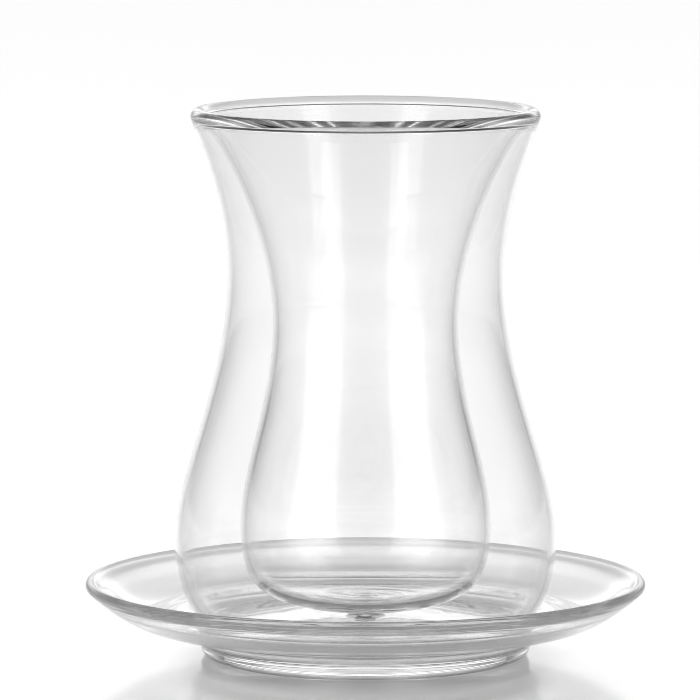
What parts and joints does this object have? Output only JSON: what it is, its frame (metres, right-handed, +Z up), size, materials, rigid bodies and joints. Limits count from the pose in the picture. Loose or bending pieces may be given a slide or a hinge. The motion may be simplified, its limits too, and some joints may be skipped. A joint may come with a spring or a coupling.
{
  "type": "double-walled turkish tea glass with saucer",
  "caption": "Empty double-walled tulip tea glass of clear glass, standing on its round clear saucer with a low foot ring.",
  "frame": {"origin": "centre of the saucer's foot ring, on the table", "axes": "+Z up along the axis of the glass and the saucer; the piece is round about it, and the picture looks along +Y"},
  "size_m": [0.11, 0.11, 0.1077],
  "materials": {
    "cup_glass": "polished, clear and colourless",
    "seal_glass": "flame-polished, clear",
    "saucer_glass": "polished, clear and colourless"
  },
  "bodies": {
    "root": {"glass": "cup_glass", "vent_seal": "seal_glass", "saucer": "saucer_glass"}
  },
  "joints": []
}
